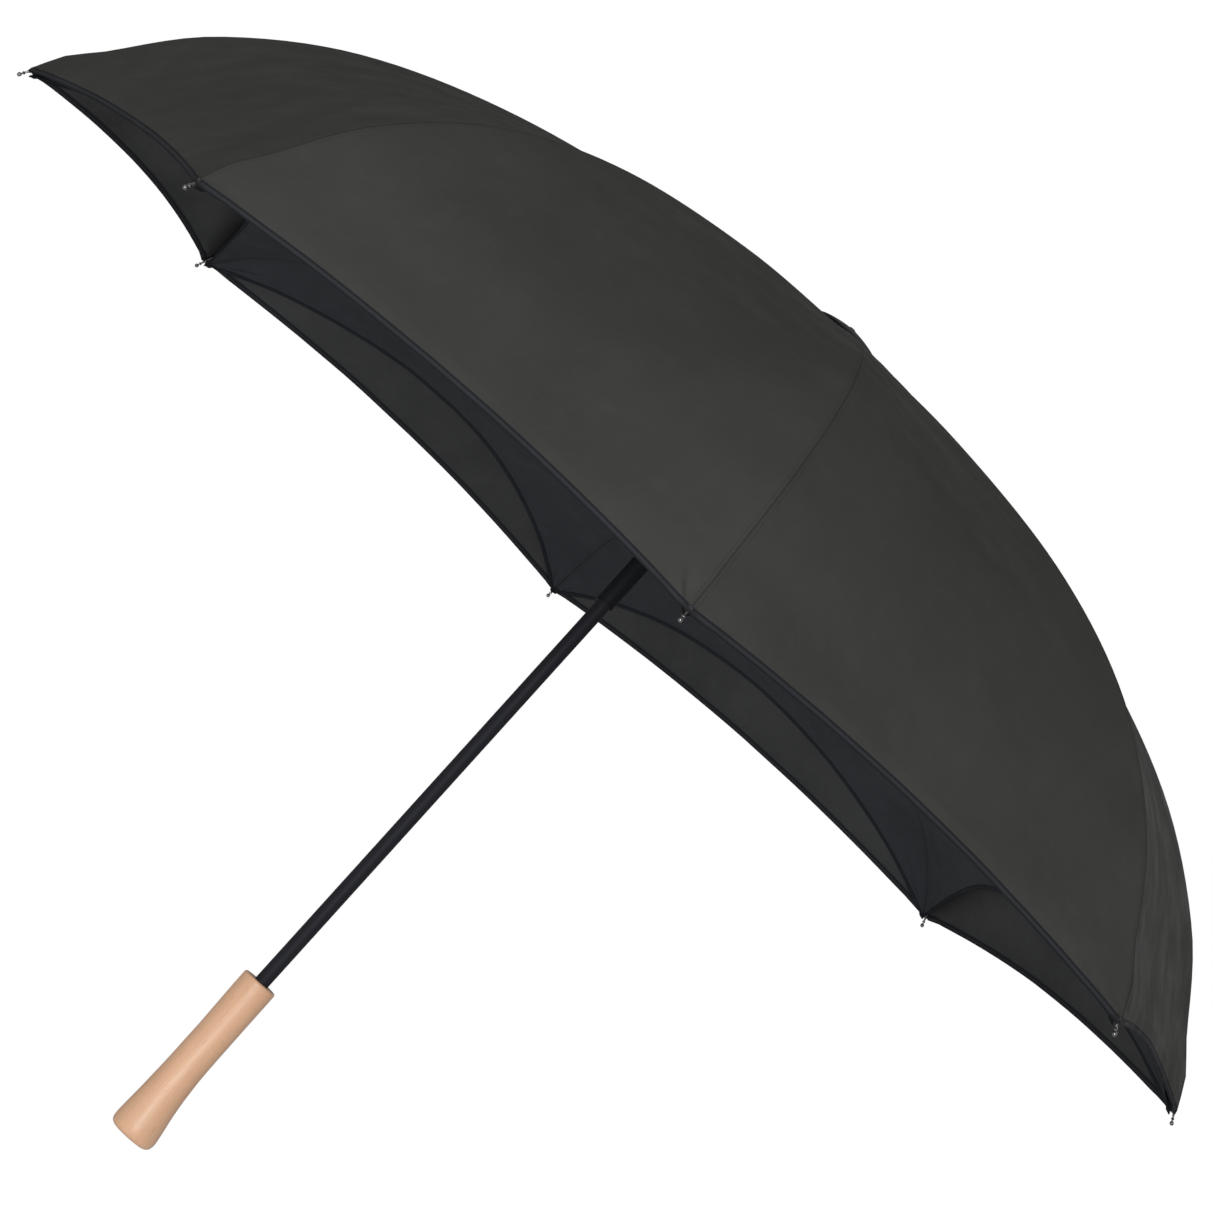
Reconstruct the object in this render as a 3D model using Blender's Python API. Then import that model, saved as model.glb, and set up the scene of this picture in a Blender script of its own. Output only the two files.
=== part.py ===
"""Inverted (reverse folding) stick umbrella with two canopies, standing on the end of its handle.

Metres, +Z up. The origin is the centre of the handle's lower end and the shaft runs up +Z.
The umbrella is modelled open, with the runner up against its stop.
"""

import math

import bmesh
import bpy
import numpy as np
from mathutils import Matrix, Vector

# ---------------------------------------------------------------- driving dimensions
RIBS = 8
STEP = 2.0 * math.pi / RIBS
GAP = 0.0003

TIP_R = 0.560          # shaft axis to the centre of a tip's ball
TIP_Z = 0.507          # height of the tips' balls above the handle's end

HANDLE_TOP = 0.1436
SHAFT_R = 0.0057
SHAFT_BORE_R = 0.0049
SHAFT_BOTTOM = 0.030
SHAFT_TOP = 0.7665
RUN_CLEAR = 0.00008    # radial clearance of the runner on the shaft

SLEEVE_BOTTOM = 0.507
SLEEVE_R = 0.0071
COLLAR_BOTTOM = 0.5680
COLLAR_TOP = 0.5718
COLLAR_R = 0.0192
HUB_TOP = 0.6060
HUB_R = 0.0180
RIB_HINGE_R = 0.0155
RIB_HINGE_Z = 0.5930
STOP_TOP = 0.6093

NOTCH_BOTTOM = 0.7440
NOTCH_TOP = 0.7655
NOTCH_R = 0.0165
STRETCHER_HINGE_R = 0.0130
STRETCHER_HINGE_Z = 0.7550
STRETCHER_SIDE = 0.0030

RIB_THICK = 0.0030
STRETCHER_THICK = 0.0020
BAR_HALF = 0.0022
EYE_R = 0.0030
ELBOW_R = 0.2530       # radius of the pivot between a rib and its stretcher
FRAME_DROP = 0.0060    # how far the frame's middle line lies under the outer canopy
ROD_R = 0.0016

OUTER_THICK = 0.0010
LINING_THICK = 0.0008
CANOPY_HOLE_R = 0.0056
LINING_HOLE_R = 0.0212

# Rib-line profiles as (radius, height over the tips), both in tip radii.
OUTER_LINE = (
    (0.010, 0.4740),
    (0.250, 0.4430),
    (0.500, 0.3850),
    (0.700, 0.3030),
    (0.850, 0.2000),
    (0.943, 0.0980),
    (0.971, 0.0620),
    (0.9995, 0.0165),
)
LINING_LINE = (
    (0.035, 0.1150),
    (0.350, 0.1210),
    (0.620, 0.1240),
    (0.756, 0.1180),
    (0.843, 0.0990),
    (0.930, 0.0570),
    (0.986, 0.0126),
)
OUTER_SCALLOP = 0.024  # depth of the hem's scallop, as a share of the rib line
LINING_SCALLOP = 0.178
OUTER_SAG = 0.010      # how far cloth dips between ribs, as a share of the gap
LINING_SAG = 0.004

# Handle sections, from its end upwards: height, radius, shift of the centre towards -X.
HANDLE_SECTIONS = (
    (0.0000, 0.0140, 0.0030),
    (0.0012, 0.0162, 0.0030),
    (0.0035, 0.0176, 0.0030),
    (0.0075, 0.0181, 0.0030),
    (0.0130, 0.0177, 0.0027),
    (0.0190, 0.0171, 0.0023),
    (0.0300, 0.0159, 0.0016),
    (0.0415, 0.0150, 0.0010),
    (0.0530, 0.01435, 0.0006),
    (0.0645, 0.01390, 0.0003),
    (0.0760, 0.01380, 0.0001),
    (0.0930, 0.01370, 0.0000),
    (0.1100, 0.01380, -0.0003),
    (0.1300, 0.01400, -0.0006),
    (0.1405, 0.01405, -0.0007),
    (0.1428, 0.01370, -0.0007),
    (0.1436, 0.01270, -0.0006),
)

CATCH_WIDTH = 0.0022
TOP_CATCH_Z = 0.5045   # the catch's shoulder, just under the sleeve
WINDOW_BOTTOM = 0.0035 # the low catch snaps into this window of the sleeve when the runner is down
WINDOW_TOP = 0.0215
LOW_CATCH_Z = 0.1765

CHARCOAL = (0.050, 0.048, 0.042)
LINING_GREY = (0.026, 0.028, 0.033)
SHAFT_BLACK = (0.022, 0.024, 0.026)
PLASTIC_BLACK = (0.010, 0.011, 0.012)
BEECH = (0.640, 0.390, 0.235)
NICKEL = (0.620, 0.610, 0.590)
STEEL = (0.330, 0.335, 0.340)
FIBRE_BLACK = (0.015, 0.015, 0.016)


# ---------------------------------------------------------------- helpers
def clear_scene():
    for item in list(bpy.data.objects):
        bpy.data.objects.remove(item, do_unlink=True)


def make_material(name, colour, roughness, metallic=0.0):
    material = bpy.data.materials.new(name)
    material.use_nodes = True
    shader = material.node_tree.nodes["Principled BSDF"]
    shader.inputs["Base Color"].default_value = (*colour, 1.0)
    shader.inputs["Roughness"].default_value = roughness
    shader.inputs["Metallic"].default_value = metallic
    material.diffuse_color = (*colour, 1.0)
    return material


def add_object(name, bm, material, parent=None):
    """Puts a bmesh, made in world coordinates, into the scene; a parent's matrix is taken out of it."""
    bmesh.ops.remove_doubles(bm, verts=bm.verts, dist=0.000002)
    bmesh.ops.recalc_face_normals(bm, faces=bm.faces)
    if parent is not None:
        bm.transform(parent.matrix_world.inverted())
    mesh = bpy.data.meshes.new(name)
    bm.to_mesh(mesh)
    bm.free()
    mesh.materials.append(material)
    item = bpy.data.objects.new(name, mesh)
    bpy.context.scene.collection.objects.link(item)
    if parent is not None:
        item.parent = parent
    return item


def add_pivot(name, location, angle=0.0):
    pivot = bpy.data.objects.new(name, None)
    pivot.empty_display_size = 0.01
    pivot.matrix_world = Matrix.Translation(location) @ Matrix.Rotation(angle, 4, "Z")
    bpy.context.scene.collection.objects.link(pivot)
    return pivot


def add_cutter(name, bm):
    bmesh.ops.recalc_face_normals(bm, faces=bm.faces)
    mesh = bpy.data.meshes.new(name)
    bm.to_mesh(mesh)
    bm.free()
    item = bpy.data.objects.new(name, mesh)
    bpy.context.scene.collection.objects.link(item)
    item.hide_render = True
    item.display_type = "WIRE"
    return item


def cut(item, cutter):
    modifier = item.modifiers.new("cut_" + cutter.name, "BOOLEAN")
    modifier.operation = "DIFFERENCE"
    modifier.solver = "EXACT"
    modifier.object = cutter
    return modifier


def box_into(bm, low, high, turn=None):
    size = [h - l for l, h in zip(low, high)]
    middle = [(h + l) / 2.0 for l, h in zip(low, high)]
    matrix = Matrix.Translation(middle) @ Matrix.Diagonal((*size, 1.0))
    if turn is not None:
        matrix = turn @ matrix
    bmesh.ops.create_cube(bm, size=1.0, matrix=matrix)


def lathe(rings, sides, closed_loop=False):
    """Solid of revolution from rings (radius, height, shift towards -X); a closed loop makes a tube."""
    bm = bmesh.new()
    loops = []
    for radius, height, shift in rings:
        if radius < 1e-7:
            loops.append([bm.verts.new((-shift, 0.0, height))])
            continue
        loop = []
        for k in range(sides):
            angle = 2.0 * math.pi * (k + 0.5) / sides
            loop.append(bm.verts.new((radius * math.cos(angle) - shift, radius * math.sin(angle), height)))
        loops.append(loop)
    pairs = list(zip(loops, loops[1:]))
    if closed_loop:
        pairs.append((loops[-1], loops[0]))
    for low, high in pairs:
        for k in range(sides):
            n = (k + 1) % sides
            if len(low) == 1:
                bm.faces.new((low[0], high[k], high[n]))
            elif len(high) == 1:
                bm.faces.new((low[k], low[n], high[0]))
            else:
                bm.faces.new((low[k], low[n], high[n], high[k]))
    return bm


def tube_rings(inner, outer, bottom, top):
    return [(outer, bottom, 0.0), (outer, top, 0.0), (inner, top, 0.0), (inner, bottom, 0.0)]


def spline(points, count):
    """Catmull-Rom curve through points, resampled to count points at even arc length."""
    p = np.array(points, float)
    p = np.vstack([2 * p[0] - p[1], p, 2 * p[-1] - p[-2]])
    fine = []
    for k in range(1, len(p) - 2):
        a, b, c, d = p[k - 1], p[k], p[k + 1], p[k + 2]
        for t in np.linspace(0.0, 1.0, 24, endpoint=False):
            fine.append(
                0.5 * (2 * b + (c - a) * t + (2 * a - 5 * b + 4 * c - d) * t * t + (3 * b - a - 3 * c + d) * t**3)
            )
    fine.append(p[-2])
    fine = np.array(fine)
    length = np.concatenate([[0.0], np.cumsum(np.linalg.norm(np.diff(fine, axis=0), axis=1))])
    even = np.linspace(0.0, length[-1], count)
    return np.stack([np.interp(even, length, fine[:, k]) for k in range(2)], 1)


def rib_line(stations, hole_r):
    """Profile in metres, fine, from the hole outwards."""
    fine = spline([(r * TIP_R, TIP_Z + z * TIP_R) for r, z in stations], 600)
    return fine[fine[:, 0] >= hole_r]


def at_share(line, share):
    position = np.clip(share, 0.0, 1.0) * (len(line) - 1)
    k = np.arange(len(line))
    return float(np.interp(position, k, line[:, 0])), float(np.interp(position, k, line[:, 1]))


def height_at(line, radius):
    return float(np.interp(radius, line[:, 0], line[:, 1]))


# ---------------------------------------------------------------- canopy cloth
def cloth_point(line, share, across, sag):
    """Point of the cloth carried by the rib on +X: across is 0 on the rib and +-1 at mid gore."""
    radius, height = at_share(line, share)
    side = 1.0 if across >= 0.0 else -1.0
    t = abs(across) / 2.0
    here = Vector((radius, 0.0, height))
    there = Vector((radius * math.cos(STEP), side * radius * math.sin(STEP), height))
    point = here.lerp(there, t)
    span = (there - here).length
    k = min(max(share, 0.02), 0.98)
    r0, z0 = at_share(line, k - 0.02)
    r1, z1 = at_share(line, k + 0.02)
    tangent = Vector((r1 - r0, 0.0, z1 - z0)).normalized()
    inward = Vector((tangent.z, 0.0, -tangent.x))
    turn = Matrix.Rotation(side * STEP * t, 3, "Z")
    return point + turn @ inward * (sag * span * 4.0 * t * (1.0 - t))


def hem_share(across, scallop):
    t = abs(across) / 2.0
    return 1.0 - scallop * 4.0 * t * (1.0 - t)


def cloth_solid(line, scallop, sag, thickness, rows, columns, angle):
    """A thin closed shell with the cloth's true outer shape, between two mid-gore folds."""
    bm = bmesh.new()
    turn = Matrix.Rotation(angle, 4, "Z")
    across = [-1.0 + 2.0 * k / (columns - 1) for k in range(columns)]
    upper, lower = [], []
    for r in range(rows):
        s = r / (rows - 1.0)
        up_row, low_row = [], []
        for a in across:
            share = s * hem_share(a, scallop)
            point = cloth_point(line, share, a, sag)
            nudge = 0.004
            lo, hi = max(share - nudge, 0.0), min(share + nudge, 1.0)
            along = cloth_point(line, hi, a, sag) - cloth_point(line, lo, a, sag)
            a0, a1 = max(a - 0.05, -1.0), min(a + 0.05, 1.0)
            sideways = cloth_point(line, share, a1, sag) - cloth_point(line, share, a0, sag)
            normal = along.cross(sideways).normalized()
            if normal.z < 0.0:
                normal.negate()
            if abs(a) == 1.0:
                back = -math.copysign(1.0, a) * 0.00017
                fold = Matrix.Rotation(math.copysign(STEP / 2.0, a), 3, "Z") @ Vector((0.0, 1.0, 0.0))
                point = point + fold * back
                normal -= fold * normal.dot(fold)
                normal.normalize()
            up_row.append(bm.verts.new(turn @ point))
            low_row.append(bm.verts.new(turn @ (point - normal * thickness)))
        upper.append(up_row)
        lower.append(low_row)
    for r in range(rows - 1):
        for c in range(columns - 1):
            bm.faces.new((upper[r][c], upper[r + 1][c], upper[r + 1][c + 1], upper[r][c + 1]))
            bm.faces.new((lower[r][c], lower[r][c + 1], lower[r + 1][c + 1], lower[r + 1][c]))
    for r in range(rows - 1):
        bm.faces.new((upper[r][0], lower[r][0], lower[r + 1][0], upper[r + 1][0]))
        bm.faces.new((upper[r][-1], upper[r + 1][-1], lower[r + 1][-1], lower[r][-1]))
    for c in range(columns - 1):
        bm.faces.new((upper[0][c], upper[0][c + 1], lower[0][c + 1], lower[0][c]))
        bm.faces.new((upper[-1][c], lower[-1][c], lower[-1][c + 1], upper[-1][c + 1]))
    return bm


# ---------------------------------------------------------------- frame pieces
def flat_bar(start, end, half, eye, thickness, side, angle, hole_r=0.0):
    """A flat bar with a round eye at each end, standing in the plane of a rib; start and end are (radius, height)."""
    a, b = Vector((start[0], 0.0, start[1])), Vector((end[0], 0.0, end[1]))
    along = (b - a).normalized()
    up = Vector((-along.z, 0.0, along.x))
    outline = []
    neck = math.asin(half / eye)
    for k in range(9):
        t = math.pi - neck
        turn = -t + 2.0 * t * k / 8.0
        outline.append(a + eye * (-along * math.cos(turn) - up * math.sin(turn)))
    for k in range(9):
        t = math.pi - neck
        turn = -t + 2.0 * t * k / 8.0
        outline.append(b + eye * (along * math.cos(turn) + up * math.sin(turn)))
    bm = bmesh.new()
    turn = Matrix.Rotation(angle, 4, "Z")
    near = [bm.verts.new(turn @ (p + Vector((0.0, side - thickness / 2.0, 0.0)))) for p in outline]
    far = [bm.verts.new(turn @ (p + Vector((0.0, side + thickness / 2.0, 0.0)))) for p in outline]
    bm.faces.new(near)
    bm.faces.new(list(reversed(far)))
    for k in range(len(outline)):
        n = (k + 1) % len(outline)
        bm.faces.new((near[k], far[k], far[n], near[n]))
    return bm


def frame_line(outer):
    """The frame's middle line, FRAME_DROP under the outer canopy's rib line."""
    tangent = np.gradient(outer, axis=0)
    tangent /= np.linalg.norm(tangent, axis=1)[:, None]
    inward = np.stack([tangent[:, 1], -tangent[:, 0]], 1)
    return outer + inward * FRAME_DROP


def tip_axis():
    """The ball's centre and the unit direction from the ball back along the tip's stem."""
    return Vector((TIP_R, 0.0, TIP_Z)), Vector((-0.500, 0.0, 0.866)).normalized()


def swept_rod(path, radius, sides, angle):
    bm = bmesh.new()
    turn = Matrix.Rotation(angle, 4, "Z")
    loops = []
    for k, (r, z) in enumerate(path):
        a = path[max(k - 1, 0)]
        b = path[min(k + 1, len(path) - 1)]
        along = Vector((b[0] - a[0], 0.0, b[1] - a[1])).normalized()
        up = Vector((-along.z, 0.0, along.x))
        loop = []
        for s in range(sides):
            t = 2.0 * math.pi * s / sides
            offset = up * math.cos(t) * radius + Vector((0.0, math.sin(t) * radius, 0.0))
            loop.append(bm.verts.new(turn @ (Vector((r, 0.0, z)) + offset)))
        loops.append(loop)
    for low, high in zip(loops, loops[1:]):
        for s in range(sides):
            n = (s + 1) % sides
            bm.faces.new((low[s], low[n], high[n], high[s]))
    bm.faces.new(list(reversed(loops[0])))
    bm.faces.new(loops[-1])
    return bm


def tip_solid(angle):
    """Turned metal tip: a ferrule on the rod, a slim stem, a ring, a groove and a ball."""
    rings = [
        (0.0, -0.0022, 0.0),
        (0.0013, -0.0018, 0.0),
        (0.0021, -0.0008, 0.0),
        (0.0022, 0.0003, 0.0),
        (0.0018, 0.0014, 0.0),
        (0.0012, 0.0020, 0.0),
        (0.0012, 0.0024, 0.0),
        (0.0019, 0.0029, 0.0),
        (0.0019, 0.0035, 0.0),
        (0.0012, 0.0041, 0.0),
        (0.0012, 0.0104, 0.0),
        (0.0017, 0.0112, 0.0),
        (0.0017, 0.0230, 0.0),
        (0.0, 0.0230, 0.0),
    ]
    bm = lathe(rings, 12)
    ball, back = tip_axis()
    lean = Vector((0.0, 0.0, 1.0)).rotation_difference(back).to_matrix().to_4x4()
    bm.transform(Matrix.Rotation(angle, 4, "Z") @ Matrix.Translation(ball) @ lean)
    return bm


def rod_path(line):
    """From just past the elbow, under the canopy, into line with the tip's stem."""
    ball, back = tip_axis()
    stem = ball + back * (0.0230 + GAP)
    keep = [(float(r), float(z)) for r, z in line if r > ELBOW_R + EYE_R + 0.0012 and r < stem.x - 0.030]
    start, finish = keep[0], keep[-1]
    middle = [keep[int(k)] for k in np.linspace(0, len(keep) - 1, 11)]
    middle[0], middle[-1] = start, finish
    lead = ball + back * (0.0230 + 0.0100)
    return middle + [(lead.x, lead.z), (stem.x, stem.z)]


# ---------------------------------------------------------------- build
def build_shaft(materials):
    bm = lathe(tube_rings(SHAFT_BORE_R, SHAFT_R, SHAFT_BOTTOM, SHAFT_TOP), 32, closed_loop=True)
    shaft = add_object("shaft", bm, materials["shaft"])
    slots = bmesh.new()
    for z in (TOP_CATCH_Z, LOW_CATCH_Z):
        half = CATCH_WIDTH / 2.0 + GAP
        box_into(slots, (-half, -0.009, z - 0.0245), (half, -0.0030, z + 0.0008))
    cut(shaft, add_cutter("cut_catch_slots", slots))


def build_handle(materials):
    rings = [(0.0, 0.0, 0.0030)]
    rings += [(r, z, shift) for z, r, shift in HANDLE_SECTIONS]
    rings += [(SHAFT_R + GAP, HANDLE_TOP, 0.0), (SHAFT_R + GAP, SHAFT_BOTTOM - GAP, 0.0)]
    rings += [(0.0, SHAFT_BOTTOM - GAP, 0.0)]
    add_object("handle", lathe(rings, 32), materials["handle"])


def build_catch(name, z, materials):
    """Leaf spring catch in a slot of the shaft: it leans out to a shoulder under the runner's sleeve."""
    half = CATCH_WIDTH / 2.0
    outline = [
        (-0.0042, z - 0.0235),
        (-0.0048, z - 0.0235),
        (-0.0078, z - 0.0008),
        (-0.0078, z),
        (-0.0046, z),
        (-0.0046, z - 0.0010),
        (-0.0066, z - 0.0014),
    ]
    pivot = add_pivot(name + "_pivot", (0.0, -0.0045, z - 0.0230))
    bm = bmesh.new()
    near = [bm.verts.new((-half, y, h)) for y, h in outline]
    far = [bm.verts.new((half, y, h)) for y, h in outline]
    bm.faces.new(near)
    bm.faces.new(list(reversed(far)))
    for k in range(len(outline)):
        n = (k + 1) % len(outline)
        bm.faces.new((near[k], far[k], far[n], near[n]))
    bpy.context.view_layer.update()
    add_object(name, bm, materials["steel"], pivot)


def radial_slots(width, side, inner, outer, bottom, top):
    slots = bmesh.new()
    for k in range(RIBS):
        turn = Matrix.Rotation(k * STEP, 4, "Z")
        box_into(slots, (inner, side - width / 2.0, bottom), (outer, side + width / 2.0, top), turn)
    return slots


def build_runner(materials):
    bore = SHAFT_R + RUN_CLEAR
    runner = add_pivot("runner_pivot", (0.0, 0.0, SLEEVE_BOTTOM))
    bpy.context.view_layer.update()
    rings = [
        (SLEEVE_R - 0.0004, SLEEVE_BOTTOM, 0.0),
        (SLEEVE_R + 0.0003, SLEEVE_BOTTOM + 0.0006, 0.0),
        (SLEEVE_R + 0.0003, SLEEVE_BOTTOM + 0.0030, 0.0),
        (SLEEVE_R, SLEEVE_BOTTOM + 0.0036, 0.0),
        (SLEEVE_R, COLLAR_BOTTOM - GAP, 0.0),
        (bore, COLLAR_BOTTOM - GAP, 0.0),
        (bore, SLEEVE_BOTTOM, 0.0),
    ]
    sleeve = add_object("runner_sleeve", lathe(rings, 32, closed_loop=True), materials["runner"], runner)
    window = bmesh.new()
    half = CATCH_WIDTH / 2.0 + GAP
    box_into(
        window,
        (-half, -0.0100, SLEEVE_BOTTOM + WINDOW_BOTTOM),
        (half, -0.0030, SLEEVE_BOTTOM + WINDOW_TOP),
    )
    cut(sleeve, add_cutter("cut_sleeve_window", window))
    rings = [
        (COLLAR_R - 0.0008, COLLAR_BOTTOM, 0.0),
        (COLLAR_R, COLLAR_BOTTOM + 0.0008, 0.0),
        (COLLAR_R, COLLAR_TOP, 0.0),
        (bore, COLLAR_TOP, 0.0),
        (bore, COLLAR_BOTTOM, 0.0),
    ]
    add_object("lining_collar", lathe(rings, 32, closed_loop=True), materials["runner"], runner)
    rings = tube_rings(bore, HUB_R, COLLAR_TOP + GAP, HUB_TOP)
    hub = add_object("runner_hub", lathe(rings, 32, closed_loop=True), materials["runner"], runner)
    width = RIB_THICK + 2.0 * GAP
    slots = radial_slots(width, 0.0, RIB_HINGE_R - EYE_R - 0.0008, 0.030, 0.5860, 0.620)
    cut(hub, add_cutter("cut_hub_slots", slots))
    add_object(
        "runner_stop",
        lathe(tube_rings(SHAFT_R + GAP, SHAFT_R + 0.0021, HUB_TOP + GAP, STOP_TOP), 24, closed_loop=True),
        materials["steel"],
    )


def build_top(materials, outer):
    rings = tube_rings(SHAFT_R + GAP, NOTCH_R, NOTCH_BOTTOM, NOTCH_TOP)
    notch = add_object("top_notch", lathe(rings, 32, closed_loop=True), materials["runner"])
    width = STRETCHER_THICK + 2.0 * GAP
    inner = STRETCHER_HINGE_R - EYE_R - 0.0006
    slots = radial_slots(width, STRETCHER_SIDE, inner, 0.030, 0.730, 0.7605)
    cut(notch, add_cutter("cut_notch_slots", slots))

    def over(radius):
        return height_at(outer, radius) + GAP

    rings = [
        (0.0, 0.7520, 0.0),
        (0.0042, 0.7520, 0.0),
        (0.0045, 0.7528, 0.0),
        (0.0045, over(CANOPY_HOLE_R) + 0.0002, 0.0),
        (0.0255, over(0.0255) + 0.0003, 0.0),
        (0.0260, over(0.0260) + 0.0010, 0.0),
        (0.0250, over(0.0250) + 0.0018, 0.0),
        (0.0100, over(0.0100) + 0.0026, 0.0),
        (0.0044, over(0.0056) + 0.0030, 0.0),
        (0.0040, over(0.0056) + 0.0058, 0.0),
        (0.0022, over(0.0056) + 0.0074, 0.0),
        (0.0, over(0.0056) + 0.0078, 0.0),
    ]
    add_object("top_cap", lathe(rings, 32), materials["runner"])


def build_rib(number, materials, outer, lining):
    angle = (number - 1) * STEP
    turn = Matrix.Rotation(angle, 4, "Z")
    line = frame_line(outer)
    elbow = (ELBOW_R, height_at(line, ELBOW_R))
    hinge = (RIB_HINGE_R, RIB_HINGE_Z)
    pin = (STRETCHER_HINGE_R, STRETCHER_HINGE_Z)
    path = rod_path(line)
    bend = path[len(path) // 2]

    def pivot(name, spot):
        return add_pivot(f"{name}_{number}_pivot", turn @ Vector((spot[0], 0.0, spot[1])), angle)

    rib_pivot = pivot("rib", hinge)
    stretcher_pivot = pivot("stretcher", pin)
    rod_pivot = pivot("rod", elbow)
    tip_pivot = pivot("tip", bend)
    lining_pivot = pivot("lining", at_share(lining, 0.0))
    bpy.context.view_layer.update()
    bar = flat_bar(hinge, elbow, BAR_HALF, EYE_R, RIB_THICK, 0.0, angle)
    add_object(f"rib_{number}", bar, materials["steel"], rib_pivot)
    bar = flat_bar(pin, elbow, BAR_HALF, EYE_R, STRETCHER_THICK, STRETCHER_SIDE, angle)
    add_object(f"stretcher_{number}", bar, materials["steel"], stretcher_pivot)
    add_object(f"rib_rod_{number}", swept_rod(path, ROD_R, 8, angle), materials["fibre"], rod_pivot)
    add_object(f"tip_{number}", tip_solid(angle), materials["tip"], tip_pivot)
    cloth = cloth_solid(outer, OUTER_SCALLOP, OUTER_SAG, OUTER_THICK, 15, 9, angle)
    add_object(f"outer_canopy_{number}", cloth, materials["outer"], rod_pivot)
    cloth = cloth_solid(lining, LINING_SCALLOP, LINING_SAG, LINING_THICK, 11, 9, angle)
    add_object(f"lining_canopy_{number}", cloth, materials["lining"], lining_pivot)


def main():
    clear_scene()
    materials = {
        "shaft": make_material("shaft_black", SHAFT_BLACK, 0.34, 0.6),
        "runner": make_material("black_plastic", PLASTIC_BLACK, 0.42),
        "handle": make_material("beech", BEECH, 0.33),
        "steel": make_material("zinc_steel", STEEL, 0.38, 1.0),
        "fibre": make_material("black_fibreglass", FIBRE_BLACK, 0.35),
        "tip": make_material("nickel", NICKEL, 0.16, 1.0),
        "outer": make_material("charcoal_pongee", CHARCOAL, 0.82),
        "lining": make_material("lining_pongee", LINING_GREY, 0.82),
    }
    outer = rib_line(OUTER_LINE, CANOPY_HOLE_R)
    lining = rib_line(LINING_LINE, LINING_HOLE_R)
    build_shaft(materials)
    build_handle(materials)
    build_catch("top_catch", TOP_CATCH_Z, materials)
    build_catch("low_catch", LOW_CATCH_Z, materials)
    build_runner(materials)
    build_top(materials, outer)
    for number in range(1, RIBS + 1):
        build_rib(number, materials, outer, lining)
    bpy.context.view_layer.update()


main()
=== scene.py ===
import math

import bmesh
import bpy
import numpy as np
from mathutils import Matrix, Vector, noise


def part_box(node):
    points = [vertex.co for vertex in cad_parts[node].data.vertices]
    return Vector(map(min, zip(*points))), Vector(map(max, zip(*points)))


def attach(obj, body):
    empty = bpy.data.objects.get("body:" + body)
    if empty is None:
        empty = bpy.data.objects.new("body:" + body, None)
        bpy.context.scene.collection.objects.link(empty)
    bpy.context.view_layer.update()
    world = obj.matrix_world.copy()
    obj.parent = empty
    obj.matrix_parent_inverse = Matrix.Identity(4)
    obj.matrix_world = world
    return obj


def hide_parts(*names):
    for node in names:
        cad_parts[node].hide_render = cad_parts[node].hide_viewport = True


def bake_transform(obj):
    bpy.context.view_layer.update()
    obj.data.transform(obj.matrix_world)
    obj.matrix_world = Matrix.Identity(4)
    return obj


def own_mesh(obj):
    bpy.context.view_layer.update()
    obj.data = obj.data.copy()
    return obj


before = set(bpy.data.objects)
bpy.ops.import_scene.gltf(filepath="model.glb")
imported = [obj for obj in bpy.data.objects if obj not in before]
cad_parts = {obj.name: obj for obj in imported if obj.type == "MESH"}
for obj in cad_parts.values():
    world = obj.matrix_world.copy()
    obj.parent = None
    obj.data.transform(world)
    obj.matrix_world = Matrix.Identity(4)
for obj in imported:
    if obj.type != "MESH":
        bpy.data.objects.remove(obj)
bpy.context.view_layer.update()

# ---------------------------------------------------------------- the umbrella's own dimensions, in metres
RIBS = 8
STEP = 2.0 * math.pi / RIBS
TIP_R = 0.560
TIP_Z = 0.507
SHAFT_R = 0.0057
SHAFT_BORE_R = 0.0049
SHAFT_BOTTOM = 0.030
SHAFT_TOP = 0.7665
SLEEVE_BOTTOM = 0.507
SLEEVE_R = 0.0071
COLLAR_BOTTOM = 0.5680
COLLAR_TOP = 0.5718
COLLAR_R = 0.0192
RUNNER_BORE_R = SHAFT_R + 0.00010
CATCH_HEIGHTS = (0.5045, 0.1765)
RIB_HINGE_R = 0.0155
RIB_HINGE_Z = 0.5930
STRETCHER_HINGE_R = 0.0130
STRETCHER_HINGE_Z = 0.7550
HINGE_WIRE_R = 0.0005
ELBOW_R = 0.2530
ROD_BEND_R = 0.42737
FRAME_DROP = 0.0060
ROD_R = 0.0016
ROD_END = 0.0233
ROD_LEAD = 0.0330
ROD_BLEND = 0.030
HOLE_R = 0.0056
LINING_HOLE_R = 0.0212
LINING_FOLD_R = 0.458

# Rib lines as (radius, height over the tips), both in tip radii.
OUTER_LINE = (
    (0.010, 0.4690),
    (0.250, 0.4415),
    (0.500, 0.3895),
    (0.700, 0.3115),
    (0.850, 0.2040),
    (0.943, 0.0915),
    (0.971, 0.0605),
    (0.9974, 0.0113),
)
LINING_LINE = (
    (0.035, 0.1150),
    (0.350, 0.1210),
    (0.620, 0.1240),
    (0.756, 0.1180),
    (0.843, 0.0990),
    (0.930, 0.0570),
    (0.9913, 0.0082),
)
OUTER_SCALLOP = 0.024
LINING_SCALLOP = 0.178
OUTER_SAG = 0.010
LINING_SAG = 0.004

# The handle's side as (height, radius, shift of the centre towards -X), up to its chamfer.
HANDLE_SECTIONS = (
    (0.0000, 0.0140, 0.0030),
    (0.0012, 0.0162, 0.0030),
    (0.0035, 0.0176, 0.0030),
    (0.0075, 0.0181, 0.0030),
    (0.0130, 0.0177, 0.0027),
    (0.0190, 0.0171, 0.0023),
    (0.0300, 0.0159, 0.0016),
    (0.0415, 0.0150, 0.0010),
    (0.0530, 0.01435, 0.0006),
    (0.0645, 0.01390, 0.0003),
    (0.0760, 0.01380, 0.0001),
    (0.0930, 0.01370, 0.0000),
    (0.1100, 0.01380, -0.0003),
    (0.1300, 0.01400, -0.0006),
)
HANDLE_FLARE_SHIFT = 0.0030

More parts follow.
